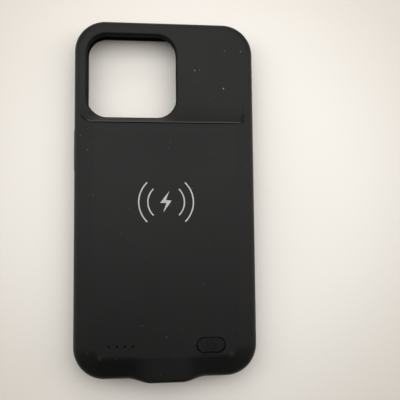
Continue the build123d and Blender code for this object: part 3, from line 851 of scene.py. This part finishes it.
@dataclass
class DustFlakes:
    """Loose flakes of dust on the back of the case.

    Attributes:
        fine_mm: radius of the other flakes
        fine_count: how many fine flakes there are
        fine_sizes: least and greatest size of a fine flake over fine_mm
        flatness: height of a flake over its width
        narrowing: least and greatest width of a flake over its length
        crumple: least and greatest reach of a corner over the smooth flake's
        level: upward share of the normal above which a fine flake stays put
        drop: height over the case from which fine flakes fall
        seed: start of the random draws
    """

    fine_mm: float = 0.075
    fine_count: int = 70
    fine_sizes: tuple[float, float] = (0.6, 1.4)
    flatness: float = 0.35
    narrowing: tuple[float, float] = (0.5, 1.0)
    crumple: tuple[float, float] = (0.7, 1.15)
    level: float = 0.8
    drop: float = 1000.0
    seed: int = 11

    def flake(self, form: bmesh.types.BMesh, seat: Vector, normal: Vector, radius: float,
              draw: random.Random) -> None:
        """Adds one crumpled flake that lies on the skin.

        Args:
            form: bmesh that takes the flake
            seat: point on the skin
            normal: the skin's normal there
            radius: size of the flake, in metres
            draw: random draws
        """
        lay = normal.to_track_quat("Z", "Y").to_matrix().to_4x4()
        turn = Matrix.Rotation(draw.uniform(0, math.tau), 4, "Z")
        width = radius * draw.uniform(*self.narrowing)
        size = Matrix.Diagonal((radius, width, radius * self.flatness, 1.0))
        shape = bmesh.ops.create_icosphere(form, subdivisions=1, radius=1.0,
                                           matrix=Matrix.Translation(seat) @ lay @ turn @ size)
        for vertex in shape["verts"]:
            vertex.co = seat + (vertex.co - seat) * draw.uniform(*self.crumple)

    def build(self, skin: bpy.types.Object, camera: bpy.types.Object) -> bpy.types.Object:
        """Scatters the flakes.

        Args:
            skin: the shell that they lie on
            camera: the camera of the photograph's view

        Returns:
            All the flakes as one piece, riding on the case.
        """
        draw = random.Random(self.seed)
        tree = BVHTree.FromPolygons([v.co for v in skin.data.vertices],
                                    [p.vertices for p in skin.data.polygons])
        form = bmesh.new()
        for speck in Speck:
            column, row, radius = speck.value
            ray = pixel_ray(camera, column, row)
            seat, normal, _, _ = tree.ray_cast(camera.location, ray)
            if seat is not None:
                self.flake(form, seat, normal, radius * MM, draw)
        low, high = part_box("outer_shell")
        height = high.z + self.drop * MM
        for _ in range(self.fine_count):
            above = Vector((draw.uniform(low.x, high.x), draw.uniform(low.y, high.y), height))
            seat, normal, _, _ = tree.ray_cast(above, Vector((0, 0, -1)))
            if seat is not None and normal.z > self.level:
                self.flake(form, seat, normal, self.fine_mm * MM * draw.uniform(*self.fine_sizes), draw)
        piece = make_piece("dust_flakes", form, DUST.build())
        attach(piece, CASE_BODY)
        return piece


def pixel_ray(camera: bpy.types.Object, column: float, row: float) -> Vector:
    """Direction from the camera through a pixel of the square photograph.

    Args:
        camera: the camera of the photograph's view
        column: pixels from the left edge
        row: pixels from the top edge

    Returns:
        A unit vector.
    """
    focal = camera.data.lens / camera.data.sensor_width * IMAGE_SIDE
    middle = IMAGE_SIDE / 2
    ray = Vector((column - middle, middle - row, -focal))
    return (camera.rotation_euler.to_matrix() @ ray).normalized()


@dataclass(frozen=True)
class SoftBox:
    """Broad rectangular lamp, aimed at the case.

    Attributes:
        name: what the lamp does
        place: middle of the lamp
        size: its width and depth
        watts: its power
        colour: sRGB hex of its light
    """

    name: str
    place: tuple[float, float, float]
    size: tuple[float, float]
    watts: float
    colour: str

    def build(self) -> None:
        """Hangs the lamp, turned towards the case."""
        data = bpy.data.lights.new(self.name, "AREA")
        data.shape = "RECTANGLE"
        data.size = self.size[0] * MM
        data.size_y = self.size[1] * MM
        data.energy = self.watts
        data.color = linear(self.colour)[:3]
        lamp = bpy.data.objects.new(self.name, data)
        lamp.location = Vector(self.place) * MM
        lamp.rotation_euler = (-lamp.location).to_track_quat("-Z", "Y").to_euler()
        bpy.context.scene.collection.objects.link(lamp)


# Long soft box over the case, a little beyond its top edge: it lights the floor and draws the gloss
OVERHEAD = SoftBox("overhead_box", (0.0, 145.0, 420.0), (1800.0, 420.0), 4.3, "#fffefc")
# Smaller one low beyond the top edge: it catches the edges and ribs that face that way
FAR_EDGE = SoftBox("far_edge_box", (0.0, 700.0, 400.0), (520.0, 260.0), 1.0, "#fffefc")


@dataclass
class Studio:
    """Floor, soft light, sky and camera.

    Attributes:
        floor_half: half of the floor's side
        eye: place of the camera
        eye_turn: the camera's turn from looking straight down, in radians about X, Y and Z
        lens: focal length on a full-frame sensor
        sensor: width of that sensor
        near: distance from which the camera sees
        lamps: the soft boxes
        sky: sRGB hex of the sky
        sky_axis: direction of the sky's bright side
        sky_dim: brightness of the sky on the other side
        sky_bright: brightness of the sky round its axis
        sky_span: share along the axis where the sky leaves the dim, and where it is bright
        side_gain: how much brighter the sky is low over the long sides
        side_span: share across the case where that gain begins, and where it is full
        wall_glow: brightness of the pale walls low all round
        wall_span: height where that glow begins, and where it is full
        backdrop: brightness of the sky where the camera sees it
    """

    floor_half: float = 3000.0
    eye: tuple[float, float, float] = (-13.66, -20.71, 268.18)
    eye_turn: tuple[float, float, float] = (0.0765, -0.1113, -0.0097)
    lens: float = 53.35
    sensor: float = 36.0
    near: float = 10.0
    lamps: tuple[SoftBox, ...] = (OVERHEAD, FAR_EDGE)
    sky: str = "#fbf9f6"
    sky_axis: tuple[float, float, float] = (0.0, 0.6, 0.8)
    sky_dim: float = 0.02
    sky_bright: float = 0.3
    sky_span: tuple[float, float] = (-0.1, 0.35)
    side_gain: float = 18.0
    side_span: tuple[float, float] = (0.93, 0.99)
    wall_glow: float = 0.13
    wall_span: tuple[float, float] = (0.42, 0.2)
    backdrop: float = 0.25

    def build_floor(self) -> None:
        """Lays the floor under the case."""
        form = bmesh.new()
        bmesh.ops.create_grid(form, x_segments=1, y_segments=1, size=self.floor_half * MM)
        floor = make_piece("floor", form, FLOOR.build())

    def build_sky(self) -> None:
        """Fills the shadows with a soft sky, brighter beyond the top edge and low over the long sides."""
        world = bpy.data.worlds.new("soft_sky")
        world.use_nodes = True
        tree = world.node_tree
        tree.nodes.clear()
        ray = add_node(tree, "ShaderNodeTexCoord").outputs["Generated"]
        side = add_node(tree, "ShaderNodeVectorMath", {"operation": "DOT_PRODUCT", 1: self.sky_axis},
                        {0: ray})
        strength = add_node(tree, "ShaderNodeMapRange",
                            {"interpolation_type": "SMOOTHSTEP", "From Min": self.sky_span[0],
                             "From Max": self.sky_span[1], "To Min": self.sky_dim,
                             "To Max": self.sky_bright},
                            {"Value": side.outputs["Value"]})
        axes = add_node(tree, "ShaderNodeSeparateXYZ", links={"Vector": ray})
        across = add_node(tree, "ShaderNodeMath", {"operation": "ABSOLUTE"}, {0: axes.outputs["X"]})
        gain = add_node(tree, "ShaderNodeMapRange",
                        {"interpolation_type": "SMOOTHSTEP", "From Min": self.side_span[0],
                         "From Max": self.side_span[1], "To Min": 1.0, "To Max": 1 + self.side_gain},
                        {"Value": across.outputs["Value"]})
        whole = add_node(tree, "ShaderNodeMath", {"operation": "MULTIPLY"},
                         {0: strength.outputs["Result"], 1: gain.outputs["Result"]})
        walls = add_node(tree, "ShaderNodeMapRange",
                         {"interpolation_type": "SMOOTHSTEP", "From Min": self.wall_span[0],
                          "From Max": self.wall_span[1], "To Min": 0.0, "To Max": self.wall_glow},
                         {"Value": axes.outputs["Z"]})
        room = add_node(tree, "ShaderNodeMath", {"operation": "ADD"},
                        {0: whole.outputs["Value"], 1: walls.outputs["Result"]})
        seen = add_node(tree, "ShaderNodeMix", {MIX_VALUE_B: self.backdrop},
                        {MIX_FACTOR: add_node(tree, "ShaderNodeLightPath").outputs["Is Camera Ray"],
                         MIX_VALUE_A: room.outputs["Value"]})
        glow = add_node(tree, "ShaderNodeBackground", {"Color": linear(self.sky)},
                        {"Strength": seen.outputs[MIX_VALUE_OUT]})
        add_node(tree, "ShaderNodeOutputWorld", links={"Surface": glow.outputs["Background"]})
        bpy.context.scene.world = world

    def build_camera(self) -> bpy.types.Object:
        """Puts the camera where the photograph was taken.

        Returns:
            The camera.
        """
        data = bpy.data.cameras.new("photo_camera")
        data.lens = self.lens
        data.sensor_width = self.sensor
        data.clip_start = self.near * MM
        camera = bpy.data.objects.new("photo_camera", data)
        camera.location = Vector(self.eye) * MM
        camera.rotation_mode = "ZXY"
        camera.rotation_euler = Euler(self.eye_turn, "ZXY")
        bpy.context.scene.collection.objects.link(camera)
        bpy.context.scene.camera = camera
        return camera

    def build(self) -> bpy.types.Object:
        """Sets the whole studio up.

        Returns:
            The camera.
        """
        self.build_floor()
        for lamp in self.lamps:
            lamp.build()
        self.build_sky()
        bpy.context.scene.view_settings.view_transform = "Standard"
        return self.build_camera()


def dress_nodes(frame: dict[str, Any]) -> None:
    """Gives every node of the case the finish of its slot.

    Args:
        frame: the loaded frame
    """
    slots = {row["node"]: row["material_slot"] for row in frame["record"]["subparts"]}
    openings = {row["name"]: row["box_m"] for row in frame["record"]["physics"]["openings"]}
    shell = replace(SOFT_SHELL, opening=openings["camera_opening"])
    built = {slot: finish.build() for slot, finish in (FINISHES | {"soft_shell": shell}).items()}
    for name, node in frame["nodes"].items():
        for material_slot in node.material_slots:
            material_slot.material = built[slots[name]]
        log.info("%s: %s", name, built[slots[name]].name)


def corners(box: tuple[Vector, Vector]) -> list[list[float]]:
    """A box's two corners as plain lists."""
    return [list(corner) for corner in box]


def main() -> None:
    """Loads the case, dresses it and sets up the studio."""
    logging.basicConfig(level=logging.INFO, format="%(name)s: %(message)s")
    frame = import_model()
    dress_nodes(frame)
    camera = Studio().build()
    mark = ChargeMark().build()
    button = PowerButton().build(frame["nodes"]["power_button"])
    flakes = DustFlakes().build(frame["nodes"]["outer_shell"], camera)
    for piece in (mark, button, flakes):
        log.info("%s: %d faces", piece.name, len(piece.data.polygons))


if __name__ == "__main__":
    main()
